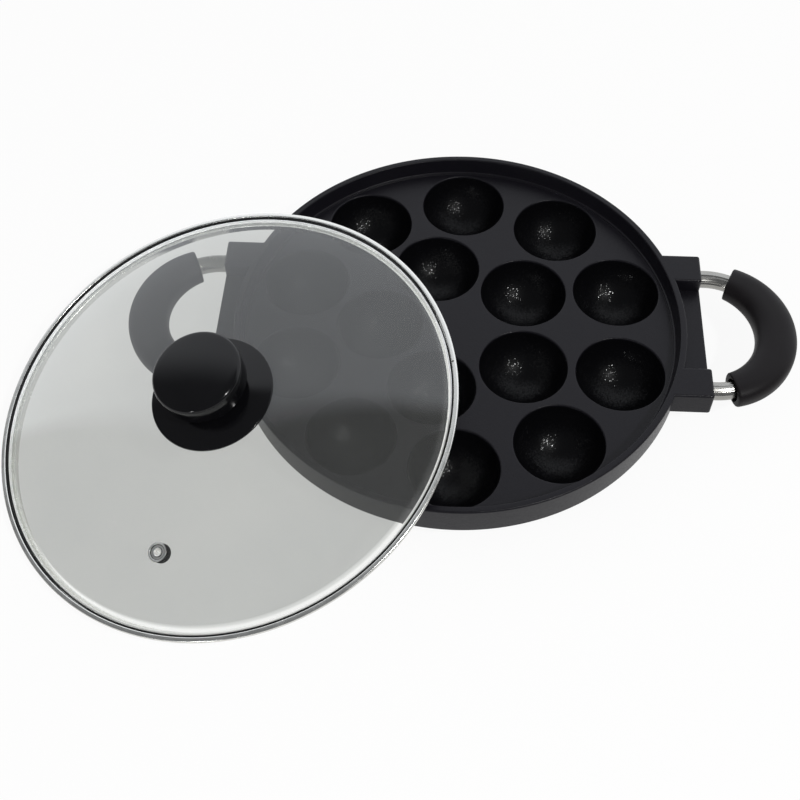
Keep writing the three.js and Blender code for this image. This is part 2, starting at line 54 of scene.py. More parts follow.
def hexColour(code):
    # sRGB hex to linear: each channel goes through the sRGB curve
    srgb = np.array([int(code[i : i + 2], 16) for i in (1, 3, 5)]) / 255
    linear = np.where(srgb <= 0.04045, srgb / 12.92, ((srgb + 0.055) / 1.055) ** 2.4)
    return (*linear.tolist(), 1.0)


unit = (0.0, 1.0)
noiseSpan = (0.3, 0.7)  # where most of a noise's values lie


def addNode(tree, kind, inputs=None, **settings):
    # a shader node; each input takes a link, a hex colour or a plain value
    node = tree.nodes.new(kind)
    for name, value in settings.items():
        setattr(node, name, value)
    for name, term in (inputs or {}).items():
        if isinstance(term, bpy.types.NodeSocket):
            tree.links.new(term, node.inputs[name])
        else:
            node.inputs[name].default_value = hexColour(term) if isinstance(term, str) else term
    return node


def calculate(tree, operation, *terms):
    # one step of arithmetic on links or numbers
    return addNode(tree, "ShaderNodeMath", dict(enumerate(terms)), operation=operation).outputs[0]


def vectorStep(tree, operation, *terms, result="Vector"):
    # one step of vector arithmetic on links or triples
    node = addNode(tree, "ShaderNodeVectorMath", dict(enumerate(terms)), operation=operation)
    return node.outputs[result]


def blend(tree, share, first, second):
    # first + share x (second - first), for colours
    return addNode(tree, "ShaderNodeMix", {0: share, 6: first, 7: second}, data_type="RGBA").outputs[2]


def ranged(tree, value, source, target, **settings):
    # the value's span source becomes the span target and is held at both ends
    inputs = {
        "Value": value,
        "From Min": source[0],
        "From Max": source[1],
        "To Min": target[0],
        "To Max": target[1],
    }
    return addNode(tree, "ShaderNodeMapRange", inputs, **settings).outputs["Result"]


def perMetre(millimetres):
    # scale of a pattern whose grains are this wide
    return 1000 / millimetres


def noise(tree, place, width, detail):
    # noise whose grains are this many millimetres wide
    inputs = {"Scale": perMetre(width), "Detail": detail, "Vector": place}
    return addNode(tree, "ShaderNodeTexNoise", inputs).outputs["Fac"]


def bumped(tree, height, strength, depth, normal=None):
    # relief this many millimetres deep, laid over another one where that is given
    inputs = {"Height": height, "Strength": strength, "Distance": depth * mm}
    if normal is not None:
        inputs["Normal"] = normal
    return addNode(tree, "ShaderNodeBump", inputs).outputs["Normal"]


def mixShaders(tree, share, first, second):
    # the first shader where the share is 0, the second where it is 1
    return addNode(tree, "ShaderNodeMixShader", {0: share, 1: first, 2: second}).outputs["Shader"]


def newMaterial(name):
    # an empty node material, with the object coordinates that its patterns use
    material = bpy.data.materials.new(name)
    material.use_nodes = True
    tree = material.node_tree
    tree.nodes.clear()
    place = addNode(tree, "ShaderNodeTexCoord").outputs["Object"]
    return material, tree, place


def principledSurface(tree, inputs):
    # one principled shader makes the whole surface
    shader = addNode(tree, "ShaderNodeBsdfPrincipled", inputs).outputs["BSDF"]
    addNode(tree, "ShaderNodeOutputMaterial", {"Surface": shader})


def softCorners(corners, steps=6):
    # each corner (radius, height, fillet) becomes an arc that touches both of its sides
    rows = np.array(corners, float)
    corner, fillet = rows[:, :2], rows[:, 2:]
    before = np.roll(corner, 1, 0) - corner
    after = np.roll(corner, -1, 0) - corner
    before /= np.linalg.norm(before, axis=1, keepdims=True)
    after /= np.linalg.norm(after, axis=1, keepdims=True)
    half = np.arccos(np.clip((before * after).sum(1, keepdims=True), -1, 1)) / 2
    bisector = before + after
    bisector /= np.maximum(np.linalg.norm(bisector, axis=1, keepdims=True), 1e-9)
    centre = corner + bisector * fillet / np.sin(half)
    start = corner + before * fillet / np.tan(half) - centre
    end = corner + after * fillet / np.tan(half) - centre
    sweep = np.maximum(np.pi - 2 * half, 1e-6)[:, :, None]
    share = np.linspace(0, 1, steps)[None, :, None]
    arcs = np.sin((1 - share) * sweep) * start[:, None] + np.sin(share * sweep) * end[:, None]
    points = centre[:, None] + arcs / np.sin(sweep)
    keep = (fillet > 0) | (np.arange(steps) == 0)[None, :]
    return points[keep]


def turned(outline, segments=0, angles=None):
    # a closed outline of (radius, height) carried once round the upright axis:
    # x = radius cos(angle), y = radius sin(angle), z = height
    if angles is None:
        angles = np.linspace(0, 2 * np.pi, segments, endpoint=False)
    radius, height = outline[:, 0][:, None], outline[:, 1][:, None]
    return np.stack([radius * np.cos(angles), radius * np.sin(angles), height + 0 * angles], -1)


def swept(centres, outward, upward, rings):
    # rings (across, up) of each station carried along a path
    across, up = rings[..., 0][..., None], rings[..., 1][..., None]
    return centres[:, None] + across * outward[:, None] + up * upward[:, None]


def solidMesh(name, grid):
    # a grid of points that closes on itself both ways, with its poles merged and its faces outwards
    rows, columns = grid.shape[:2]
    index = np.arange(rows * columns).reshape(rows, columns)
    right, down = np.roll(index, -1, 1), np.roll(index, -1, 0)
    quads = np.stack([index, right, np.roll(right, -1, 0), down], -1).reshape(-1, 4)
    mesh = bpy.data.meshes.new(name)
    mesh.vertices.add(rows * columns)
    mesh.vertices.foreach_set("co", grid.astype(np.float32).ravel())
    mesh.loops.add(quads.size)
    mesh.loops.foreach_set("vertex_index", quads.ravel().astype(np.int32))
    mesh.polygons.add(len(quads))
    mesh.polygons.foreach_set("loop_start", np.arange(0, quads.size, 4, dtype=np.int32))
    mesh.update(calc_edges=True)
    cleaner = bmesh.new()
    cleaner.from_mesh(mesh)
    bmesh.ops.remove_doubles(cleaner, verts=cleaner.verts, dist=2e-7)
    bmesh.ops.recalc_face_normals(cleaner, faces=cleaner.faces)
    cleaner.to_mesh(mesh)
    cleaner.free()
    return mesh


def shapeObject(name, mesh):
    # a mesh as an object of the scene
    item = bpy.data.objects.new(name, mesh)
    bpy.context.scene.collection.objects.link(item)
    return item


def solidObject(name, grid):
    # a closed grid of points as an object of the scene
    return shapeObject(name, solidMesh(name, grid))


def cutOrJoin(item, tools):
    # boolean steps in order, worked out and kept as one mesh; the tools are then removed
    for operation, tool in tools:
        step = item.modifiers.new(tool.name, "BOOLEAN")
        step.operation = operation
        step.solver = "MANIFOLD"
        step.object = tool
    bpy.context.view_layer.update()
    worked = item.evaluated_get(bpy.context.evaluated_depsgraph_get())
    mesh = bpy.data.meshes.new_from_object(worked)
    item.modifiers.clear()
    item.data = mesh
    for _, tool in tools:
        bpy.data.objects.remove(tool)
    return item


def finishPiece(item, body, nodes, material, sharpAngle=32, weighted=True):
    # smooth faces with crisp edges past an angle, one material, riding on its body
    mesh = item.data
    mesh.polygons.foreach_set("use_smooth", np.ones(len(mesh.polygons), bool))
    mesh.set_sharp_from_angle(angle=math.radians(sharpAngle))
    if weighted:
        even = item.modifiers.new("even", "WEIGHTED_NORMAL")
        even.keep_sharp = True
    mesh.materials.clear()
    mesh.materials.append(material)
    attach(item, body)
    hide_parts(*nodes)


def onPan(points):
    # from millimetres round the pan's centre to metres in the frame
    return points * mm + panCentre


lid = {"centreX": -117.8, "centreY": -63.83, "height": 32.579, "tilt": 12.542, "towards": 216.5}
lidCentre = np.array([lid["centreX"], lid["centreY"], lid["height"]])


coatLook = {
    "grain": 0.9,
    "peel": 4.0,
    "cloud": 45.0,
    "darkGrain": "#0e0d11",
    "paleGrain": "#15141a",
    "cloudTone": "#131217",
    # painted shade in the cups: their near-black tone, and their lower specular below
    "cupShadeTone": "#08080a",
    "cupHeights": (24.6, 25.8),
    "insideRim": 113.5,
    "specular": (0.17, 0.05),  # on the plate and in the cups
    "coatWeight": (0.03, 0.2),  # on the plate and in the cups
    "coatRough": 0.12,
    "rough": (0.32, 0.44),
    "ior": 1.5,
    "relief": 0.1,
    "peelStrength": 0.5,
    "grainStrength": 0.6,
    "facet": 0.36,  # the real facets are a tenth of this, too fine to show at this distance
    "facetTilt": 0.34,
}


def nonStickCoat():
    # PTFE coat sprayed on die-cast aluminium: charcoal and satin on the plate, with painted shade that
    # makes the cups near black and dulls their reflection, and a grain of tiny glossy facets that break
    # the lamp's highlight into sparks
    material, tree, place = newMaterial("sprayedPtfeCoat")
    grain = noise(tree, place, coatLook["grain"], 3.0)
    peel = noise(tree, place, coatLook["peel"], 2.0)
    cloud = noise(tree, place, coatLook["cloud"], 3.0)
    speckled = blend(tree, grain, coatLook["darkGrain"], coatLook["paleGrain"])
    tone = blend(tree, cloud, speckled, coatLook["cloudTone"])
    # cups are what lies under the plate's face and inside the rim's wall; there the colour and the
    # specular carry painted shade
    height = addNode(tree, "ShaderNodeSeparateXYZ", {0: place}).outputs["Z"]
    low, high = coatLook["cupHeights"]
    below = ranged(tree, height, (low * mm, high * mm), (1.0, 0.0))
    flat = vectorStep(tree, "MULTIPLY", place, (1.0, 1.0, 0.0))
    away = vectorStep(tree, "DISTANCE", flat, tuple(panCentre), result="Value")
    within = calculate(tree, "LESS_THAN", away, coatLook["insideRim"] * mm)
    inCup = calculate(tree, "MULTIPLY", below, within)
    waves = bumped(tree, peel, coatLook["peelStrength"], coatLook["relief"])
    cells = addNode(
        tree, "ShaderNodeTexVoronoi", {"Scale": perMetre(coatLook["facet"]), "Vector": place}
    )
    spread = vectorStep(tree, "SUBTRACT", cells.outputs["Color"], (0.5, 0.5, 0.5))
    normal = addNode(tree, "ShaderNodeNewGeometry").outputs["Normal"]
    tilted = vectorStep(tree, "MULTIPLY_ADD", spread, (coatLook["facetTilt"],) * 3, normal)
    principledSurface(
        tree,
        {
            "IOR": coatLook["ior"],
            "Base Color": blend(tree, inCup, tone, coatLook["cupShadeTone"]),
            "Roughness": ranged(tree, grain, noiseSpan, coatLook["rough"]),
            "Normal": bumped(tree, grain, coatLook["grainStrength"], coatLook["relief"], waves),
            "Specular IOR Level": ranged(tree, inCup, unit, coatLook["specular"]),
            "Coat Weight": ranged(tree, inCup, unit, coatLook["coatWeight"]),
            "Coat Roughness": coatLook["coatRough"],
            "Coat Normal": vectorStep(tree, "NORMALIZE", tilted),
        },
    )
    return material


def polishedSteel(name, rough, dark, light, cloudWidth=6.0):
    # stainless steel or brass, rolled, drawn or turned and then polished, with faint cloudy wear
    material, tree, place = newMaterial(name)
    cloud = noise(tree, place, cloudWidth, 4.0)
    principledSurface(
        tree,
        {
            "Metallic": 1.0,
            "Base Color": blend(tree, cloud, dark, light),
            "Roughness": ranged(tree, cloud, noiseSpan, rough),
        },
    )
    return material


def phenolic(name, dark, light, rough, dent, gloss, flowWidth=11.0, skinWidth=0.7):
    # phenolic resin (bakelite), hot moulded: near black, even, with a faint flow in its gloss
    material, tree, place = newMaterial(name)
    flow = noise(tree, place, flowWidth, 3.0)
    skin = noise(tree, place, skinWidth, 2.0)
    principledSurface(
        tree,
        {
            "IOR": 1.5,
            "Specular IOR Level": gloss,
            "Base Color": blend(tree, flow, dark, light),
            "Roughness": ranged(tree, flow, noiseSpan, rough),
            "Normal": bumped(tree, skin, 0.5, dent),
        },
    )
    return material


glassLook = {
    # painted shade: the grey tones, varied in patches this wide, darken what is seen through the glass
    "shadePatch": 60.0,
    "shadeTones": ("#b8bab8", "#c2c3c0"),
    "flangeTone": "#f2f3f1",
    "flangeFrom": (113.0, 114.0),
    "groundFrom": (116.1, 116.4),
    "transmission": (0.97, 0.35),  # clear and ground
    "rough": (0.0, 0.5),  # clear and ground
    "bodyIor": 1.1,
    "lampTone": "#f6f7f6",
    "sheenNormal": (-0.165, -0.125),
    "sheen": (0.25, 1.9),
    "sheenTone": "#f0f4fb",
    "sheenIor": 1.5,
}


def temperedGlass():
    # soda-lime glass, pressed and tempered: clear, with a grey cast that is painted shade for the lid's
    # shadow on the floor seen through it, in patches and paler over the flange, with a ground edge that
    # looks milky; lamps shine through it
    material, tree, place = newMaterial("temperedSodaLimeGlass")
    away = vectorStep(tree, "DISTANCE", place, tuple(onPan(lidCentre)), result="Value")
    flange, ground = (
        ranged(tree, away, (start * mm, end * mm), unit)
        for start, end in (glassLook["flangeFrom"], glassLook["groundFrom"])
    )
    # painted shade: a grey, in patches, over all that is seen through the glass
    grey = blend(tree, noise(tree, place, glassLook["shadePatch"], 2.0), *glassLook["shadeTones"])
    shader = addNode(
        tree,
        "ShaderNodeBsdfPrincipled",
        {
            "IOR": glassLook["bodyIor"],
            "Base Color": blend(tree, flange, grey, glassLook["flangeTone"]),
            "Transmission Weight": ranged(tree, ground, unit, glassLook["transmission"]),
            "Roughness": ranged(tree, ground, unit, glassLook["rough"]),
        },
    ).outputs["BSDF"]
    # a bright ceiling lies on the glass as an even sheen that grows with Fresnel's share and ends
    # where the dome turns to the front; it is drawn here, because mirrored rays leave grain
    surface = addNode(tree, "ShaderNodeNewGeometry")
    facing = addNode(tree, "ShaderNodeSeparateXYZ", {0: surface.outputs["Normal"]}).outputs["Y"]
    ceiling = ranged(
        tree, facing, glassLook["sheenNormal"], glassLook["sheen"], interpolation_type="SMOOTHSTEP"
    )
    fresnel = addNode(tree, "ShaderNodeFresnel", {"IOR": glassLook["sheenIor"]}).outputs["Fac"]
    outside = calculate(tree, "SUBTRACT", 1.0, surface.outputs["Backfacing"])
    amount = calculate(tree, "MULTIPLY", calculate(tree, "MULTIPLY", fresnel, ceiling), outside)
    sheen = addNode(
        tree, "ShaderNodeEmission", {"Color": glassLook["sheenTone"], "Strength": amount}
    ).outputs["Emission"]
    body = addNode(tree, "ShaderNodeAddShader", {0: shader, 1: sheen}).outputs["Shader"]
    lampSide = addNode(tree, "ShaderNodeBsdfTransparent", {"Color": glassLook["lampTone"]}).outputs["BSDF"]
    shadowRay = addNode(tree, "ShaderNodeLightPath").outputs["Is Shadow Ray"]
    joined = mixShaders(tree, shadowRay, body, lampSide)
    addNode(tree, "ShaderNodeOutputMaterial", {"Surface": joined})
    return material


def siliconeRubber():
    # moulded silicone: deep black with a dull skin
    material, tree, place = newMaterial("blackSiliconeRubber")
    skin = noise(tree, place, 0.8, 2.0)
    principledSurface(
        tree,
        {
            "Roughness": 0.6,
            "Specular IOR Level": 0.3,
            "Base Color": blend(tree, skin, "#0b0b0b", "#161616"),
            "Normal": bumped(tree, skin, 0.4, 0.05),
        },
    )
    return material


coat = nonStickCoat()
bandSteel = polishedSteel("rolledStainlessBand", (0.2, 0.3), "#cfcfcb", "#e4e4e0")
rodSteel = polishedSteel("drawnStainlessRod", (0.2, 0.3), "#8b8a86", "#a3a29e")
fastenerSteel = polishedSteel("turnedStainlessFastener", (0.2, 0.3), "#9a9a97", "#b4b4b0")
# the vent's washer under the glass is painted near black: painted shade for the shadow it lies in
shadedWasherSteel = polishedSteel("steelWasherInPaintedShade", (0.5, 0.6), "#0f0f0f", "#181818")
turnedBrass = polishedSteel("turnedBrass", (0.25, 0.35), "#c39a52", "#d2ab66")
gripResin = phenolic("mattPhenolicResin", "#0e0b0d", "#141113", (0.42, 0.52), 0.05, 0.16)
knobResin = phenolic("glossPhenolicResin", "#08080a", "#0d0d0f", (0.09, 0.15), 0.004, 0.27)
lidGlassMaterial = temperedGlass()
rubber = siliconeRubber()
print("materials made")


cutOverrun = 3.0  # how far a cut runs past what it cuts
pan = {
    "rimRadius": 120.0,
    "rimInnerRadius": 116.45,
    "rimTop": 35.6,
    "plateTop": 26.0,
    "plateThickness": 3.4,
    "stepRadius": 115.1,
    "stepInnerRadius": 114.2,
    "stepHeight": 0.85,
    "wallFootRadius": 119.5,
    "wallFootInnerRadius": 114.6,
    "wallBottom": 17.0,
    "segments": 288,
}
cup = {
    "radius": 23.08,
    "depth": 22.3,
    "wall": 3.0,
    "footRadius": 9.0,
    "lip": 0.9,
    "lipOverlap": 0.01,
    "footRound": 0.5,
    "circles": ((10, 89.4, 18.0), (5, 42.7, 36.0)),
    "segments": 96,
    "bossSegments": 48,
    "steps": 22,
}
lug = {
    "reach": 130.4,
    "root": 98.8,
    "blockInner": 29.2,
    "blockOuter": 47.3,
    "top": 35.6,
    "bottom": 20.6,
    "webTop": 26.8,
    "webInset": 2.0,
    "webSoften": 0.9,
    "soften": 1.3,
    "intoWall": 1.5,
    "roomSegments": 192,
}
loop = {
    "radius": 4.7,
    "halfSpan": 37.65,
    "height": 27.1,
    "inLug": 13.0,
    "bowStart": 133.2,
    "bow": 34.6,
    "flutes": 15,
    "fluteDepth": 0.22,
    "gap": 0.3,
    "boreLength": 20.0,
    "boreSegments": 48,
    "sides": 72,
    "steps": 96,
}


def cupCentres():
    # evenly spaced on each circle, from its first angle on
    spots = [
        (ring * np.cos(angle), ring * np.sin(angle))
        for count, ring, first in cup["circles"]
        for angle in np.radians(first) + 2 * np.pi * np.arange(count) / count
    ]
    return np.array(spots)


def ballArc(radius, centreHeight, fromRadius, toAngle, steps):
    # the underside of a ball, from a distance off its axis up to an angle from straight down
    angle = np.linspace(np.arcsin(fromRadius / radius), toAngle, steps)
    return np.stack([radius * np.sin(angle), centreHeight - radius * np.cos(angle)], -1)


def softBox(name, low, high, soften):
    # a box with rounded edges, placed by two corners
    low, high = np.array(low), np.array(high)
    signs = np.array([(x, y, z) for x in (0, 1) for y in (0, 1) for z in (0, 1)])
    corners = onPan(low + signs * (high - low))
    quads = [(0, 1, 3, 2), (4, 6, 7, 5), (0, 4, 5, 1), (2, 3, 7, 6), (0, 2, 6, 4), (1, 5, 7, 3)]
    mesh = bpy.data.meshes.new(name)
    mesh.from_pydata(corners.tolist(), [], quads)
    item = shapeObject(name, mesh)
    edge = item.modifiers.new("soften", "BEVEL")
    edge.width = soften * mm
    edge.segments = 5
    return item


def lugShape(side):
    # two blocks level with the rim and a low web, cut away where the rim's own wall is
    nearX, farX = sorted((side * lug["root"], side * lug["reach"]))
    webSpan = lug["blockOuter"] - lug["webInset"]
    web = softBox(
        "web",
        (nearX, -webSpan, lug["bottom"]),
        (farX, webSpan, lug["webTop"]),
        lug["webSoften"],
    )
    blocks = [
        softBox(
            "block",
            (nearX, min(end * lug["blockInner"], end * lug["blockOuter"]), lug["bottom"]),
            (farX, max(end * lug["blockInner"], end * lug["blockOuter"]), lug["top"]),
            lug["soften"],
        )
        for end in (-1, 1)
    ]
    radius = pan["rimRadius"] - lug["intoWall"]
    low, high = lug["bottom"] - cutOverrun, lug["top"] + cutOverrun
    room = softCorners([(0, low, 0), (radius, low, 0), (radius, high, 0), (0, high, 0)])
    clear = solidObject("clear", onPan(turned(room, lug["roomSegments"])))
    return cutOrJoin(web, [("UNION", blocks[0]), ("UNION", blocks[1]), ("DIFFERENCE", clear)])


def panCasting():
    # plate, rim and step turned as one, with cups and lugs joined and their hollows cut out
    plateBottom = pan["plateTop"] - pan["plateThickness"]
    body = softCorners(
        [
            (0, plateBottom, 0),
            (pan["wallFootInnerRadius"], plateBottom, 1.2),
            (pan["wallFootInnerRadius"], pan["wallBottom"], 0.6),
            (pan["wallFootRadius"], pan["wallBottom"], 0.9),
            (pan["rimRadius"], pan["rimTop"], 1.0),
            (pan["rimInnerRadius"], pan["rimTop"], 0.8),
            (pan["stepRadius"], pan["plateTop"] + pan["stepHeight"], 0.7),
            (pan["stepInnerRadius"], pan["plateTop"] + pan["stepHeight"], 0.35),
            (pan["stepInnerRadius"], pan["plateTop"], 0.3),
            (0, pan["plateTop"], 0),
        ]
    )
    item = solidObject("castPan", onPan(turned(body, pan["segments"])))
    ball = (cup["radius"] ** 2 + cup["depth"] ** 2) / (2 * cup["depth"])
    ballHeight = pan["plateTop"] - cup["depth"] + ball
    bossTop = pan["plateTop"] - pan["plateThickness"] / 2
    outside = ballArc(
        ball + cup["wall"],
        ballHeight,
        cup["footRadius"] + cup["footRound"],
        np.arccos((ballHeight - bossTop) / (ball + cup["wall"])),
        cup["steps"] // 2,
    )
    boss = np.vstack([[(0, 0), (cup["footRadius"], 0)], outside, [(0, bossTop)]])
    inside = ballArc(ball, ballHeight, 0, np.arcsin(cup["radius"] / ball), cup["steps"])
    lipTurn = np.linspace(np.pi, np.pi / 2, 8)[1:]
    lip = np.stack(
        [
            cup["radius"] + cup["lip"] + cup["lip"] * np.cos(lipTurn),
            pan["plateTop"] - cup["lip"] + cup["lipOverlap"] + cup["lip"] * np.sin(lipTurn),
        ],
        -1,
    )
    inside = inside[inside[:, 1] < pan["plateTop"] - cup["lip"]]
    overTop = pan["plateTop"] + cutOverrun
    hollow = np.vstack([inside, lip, [(cup["radius"] + cup["lip"], overTop), (0, overTop)]])
    steps = [("UNION", lugShape(-1)), ("UNION", lugShape(1))]
    for operation, outline, segments in (
        ("UNION", boss, cup["bossSegments"]),
        ("DIFFERENCE", hollow, cup["segments"]),
    ):
        for x, y in cupCentres():
            grid = onPan(turned(outline, segments) + np.array([x, y, 0]))
            steps.append((operation, solidObject("cupTool", grid)))
    radius, length = loop["radius"] + loop["gap"], loop["boreLength"]
    bore = softCorners([(0, 0, 0), (radius, 0, 0), (radius, length, 0), (0, length, 0)])
    for side in (-1, 1):
        for end in (-1, 1):
            tube = turned(bore, loop["boreSegments"])
            tube = np.stack([side * tube[..., 2], tube[..., 1], tube[..., 0]], -1)
            start = side * (lug["reach"] - loop["inLug"] - loop["gap"])
            tube = tube + np.array([start, end * loop["halfSpan"], loop["height"]])
            steps.append(("DIFFERENCE", solidObject("bore", onPan(tube))))
    return cutOrJoin(item, steps)


finishPiece(panCasting(), "pan", ["pan_casting"], coat)
print("pan made")


grip = {
    "halfWidth": 10.7,
    "halfHeight": 8.0,
    "narrowing": 0.14,
    "squareness": 2.5,
    "farAngle": 68.0,
    "nearAngle": -76.0,
    "mouthRadius": 6.2,
    "mouthShare": 0.16,
    "edge": 0.9,
    "endShares": (0.0, 0.003, 0.008, 0.014),
    "arcShare": 0.95,
    "steps": 96,
    "sides": 72,
}
fastener = {
    "gripShaft": 1.6,
    "gripHead": 3.0,
    "gripHeadHeight": 1.8,
    "gripInset": 0.6,
    "socketRadius": 0.9,
    "socketDepth": 0.7,
    "wellOverrun": 2.0,
    "wellSegments": 32,
    "screwSegments": 40,
    "pinRadius": 1.5,
    "pinFromEnd": 6.0,
    "pinPast": 2.0,
    "pinSegments": 32,
}


def bowPath(side, angle):
    # half an ellipse beyond the straight ends, with its unit outward and upward vectors
    centre = np.stack(
        [
            side * (loop["bowStart"] + loop["bow"] * np.cos(angle)),
            loop["halfSpan"] * np.sin(angle),
            loop["height"] + 0 * angle,
        ],
        -1,
    )
    outward = np.stack(
        [side * loop["halfSpan"] * np.cos(angle), loop["bow"] * np.sin(angle), 0 * angle], -1
    )
    outward /= np.linalg.norm(outward, axis=1, keepdims=True)
    upward = np.tile([0.0, 0.0, 1.0], (len(angle), 1))
    return centre, outward, upward


def rodLoop(side):
    # a rod with shallow flutes along it: its radius waves a little round the section
    angle = np.linspace(-np.pi / 2, np.pi / 2, loop["steps"])
    centre, outward, upward = bowPath(side, angle)
    ends = np.array([side * (lug["reach"] - loop["inLug"]), 0, 0])
    first = centre[:1] * [0, 1, 1] + ends
    last = centre[-1:] * [0, 1, 1] + ends
    centre = np.vstack([first, first, centre, last, last])
    outward = np.vstack([outward[:1], outward[:1], outward, outward[-1:], outward[-1:]])
    upward = np.vstack([upward[:2], upward, upward[:2]])
    around = np.linspace(0, 2 * np.pi, loop["sides"], endpoint=False)
    wave = loop["radius"] - loop["fluteDepth"] * (0.5 - 0.5 * np.cos(loop["flutes"] * around))
    ring = np.stack([wave * np.cos(around), wave * np.sin(around)], -1)
    size = np.ones((len(centre), 1, 1))
    size[0] = size[-1] = 0
    grid = swept(centre, outward, upward, ring[None] * size)
    name = f"rodLoop{'Right' if side > 0 else 'Left'}"
    return solidObject(name, onPan(grid))


def gripSleeve(side):
    # a boxy oval carried along the bow, narrower and rounded over at its ends, with a bore that
    # widens into a mouth
    near, far = np.radians(grip["nearAngle"]), np.radians(grip["farAngle"])
    ends = np.array(grip["endShares"])
    share = np.concatenate([ends, np.linspace(0, 1, grip["steps"])[2:-2], 1 - ends[::-1]])
    centre, outward, upward = bowPath(side, near + (far - near) * share)
    fromMiddle = np.abs(2 * share - 1)
    narrowed = 1 - grip["narrowing"] * fromMiddle**2
    length = (far - near) * loop["halfSpan"] * grip["arcShare"]
    fromEnd = np.minimum(share, 1 - share) * length
    rounding = grip["edge"] - np.sqrt(
        np.maximum(grip["edge"] ** 2 - np.maximum(grip["edge"] - fromEnd, 0) ** 2, 0)
    )
    around = np.linspace(0, 2 * np.pi, grip["sides"], endpoint=False)
    power = 2 / grip["squareness"]
    wide = np.sign(np.cos(around)) * np.abs(np.cos(around)) ** power
    high = np.sign(np.sin(around)) * np.abs(np.sin(around)) ** power
    halfWidth = (grip["halfWidth"] * narrowed - rounding)[:, None]
    halfHeight = (grip["halfHeight"] * narrowed - rounding)[:, None]
    skin = swept(centre, outward, upward, np.stack([halfWidth * wide, halfHeight * high], -1))
    tight = loop["radius"] + loop["gap"]
    flare = np.maximum(0, (fromMiddle - 1 + grip["mouthShare"]) / grip["mouthShare"])
    bore = (tight + (grip["mouthRadius"] - tight) * flare)[:, None]
    ring = np.stack([bore * np.cos(around), bore * np.sin(around)], -1)
    hollow = swept(centre, outward, upward, ring)[::-1]
    name = f"gripSleeve{'Right' if side > 0 else 'Left'}"
    item = solidObject(name, onPan(np.concatenate([skin, hollow])))
    low = loop["height"] - grip["halfHeight"]
    head = fastener["gripInset"] + fastener["gripHeadHeight"] + loop["gap"]
    headWell, shaftWell = fastener["gripHead"] + loop["gap"], fastener["gripShaft"] + loop["gap"]
    well = np.array(
        [
            (0, low - fastener["wellOverrun"]),
            (headWell, low - fastener["wellOverrun"]),
            (headWell, low + head),
            (shaftWell, low + head),
            (shaftWell, loop["height"]),
            (0, loop["height"]),
        ]
    )
    middle = np.array([side * (loop["bowStart"] + loop["bow"]), 0, 0])
    drill = solidObject("drill", onPan(turned(well, fastener["wellSegments"]) + middle))
    return cutOrJoin(item, [("DIFFERENCE", drill)])


def gripScrew(side):
    # pan-head screw from below
    low = loop["height"] - grip["halfHeight"] + fastener["gripInset"]
    top = low + fastener["gripHeadHeight"]
    outline = softCorners(
        [
            (0, low + fastener["socketDepth"], 0),
            (fastener["socketRadius"], low + fastener["socketDepth"], 0),
            (fastener["socketRadius"], low, 0.15),
            (fastener["gripHead"], low, 0.6),
            (fastener["gripHead"], top, 0.2),
            (fastener["gripShaft"], top, 0),
            (fastener["gripShaft"], loop["height"] - loop["gap"], 0.3),
            (0, loop["height"] - loop["gap"], 0),
        ],
        4,
    )
    place = np.array([side * (loop["bowStart"] + loop["bow"]), 0, 0])
    name = f"gripScrew{'Right' if side > 0 else 'Left'}"
    return solidObject(name, onPan(turned(outline, fastener["screwSegments"]) + place))


def loopPin(side, end):
    # plain pin with broken edges, pressed up through the lug and the rod
    low = lug["bottom"] + loop["gap"]
    top = loop["height"] + loop["radius"] + fastener["pinPast"]
    outline = softCorners(
        [
            (0, low, 0),
            (fastener["pinRadius"], low, 0.3),
            (fastener["pinRadius"], top, 0.3),
            (0, top, 0),
        ],
        3,
    )
    x = side * (lug["reach"] - loop["inLug"] + fastener["pinFromEnd"])
    place = np.array([x, end * loop["halfSpan"], 0])
    name = f"loopPin{'Right' if side > 0 else 'Left'}{'Back' if end > 0 else 'Front'}"
    return solidObject(name, onPan(turned(outline, fastener["pinSegments"]) + place))


for side, word in ((-1, "left"), (1, "right")):
    finishPiece(rodLoop(side), "pan", [f"handle_loop_{word}"], rodSteel, weighted=False)
    finishPiece(gripSleeve(side), "pan", [f"handle_grip_{word}"], gripResin)
    finishPiece(gripScrew(side), "pan", [f"grip_screw_{word}"], fastenerSteel)
    for end, endWord in ((-1, "front"), (1, "back")):
        finishPiece(
            loopPin(side, end), "pan", [f"loop_pin_{word}_{endWord}"], fastenerSteel
        )
print("handles made")


glass = {
    "radius": 117.26,
    "thickness": 3.5,
    "rise": 17.0,
    "edgeHeight": 0.2,
    "curve": 2.8,
    "bore": 3.4,
    "edge": 0.6,
    "edgeHollow": 0.2,
    "steps": 44,
    "segments": 192,
}
band = {
    "lipRadius": 120.96,
    "lipWidth": 2.6,
    "lipHalfHeight": 1.1,
    "sheet": 0.7,
    "skirtInnerRadius": 114.7,
    "skirtDepth": 7.4,
    "sealWidth": 0.5,
    "sealProud": 0.7,
    "jointAngle": 9.35,
    "jointWidth": 1.0,
    "jointDepth": 0.9,
    "jointFade": 0.9,
    "jointReach": 1.2,
    "jointStations": (0.95, 1.05, 2.2),  # in half widths of the joint
    "segments": 288,
    "sealSegments": 224,
}
seatGap = 0.3

leanAngle = math.radians(lid["towards"])
leanAxis = Vector((-math.sin(leanAngle), math.cos(leanAngle), 0))
leanTurn = np.array(Matrix.Rotation(math.radians(lid["tilt"]), 3, leanAxis))


def onLid(points):
    # from the middle of the lip's plane, up along the knob, to the leaning lid
    return onPan(points @ leanTurn.T + lidCentre)


def glassTop(radius):
    # the dome falls with a power of the distance from its crown:
    # edge height + rise x (1 - (radius / glass radius) ^ curve)
    return glass["edgeHeight"] + glass["rise"] * (1 - (radius / glass["radius"]) ** glass["curve"])


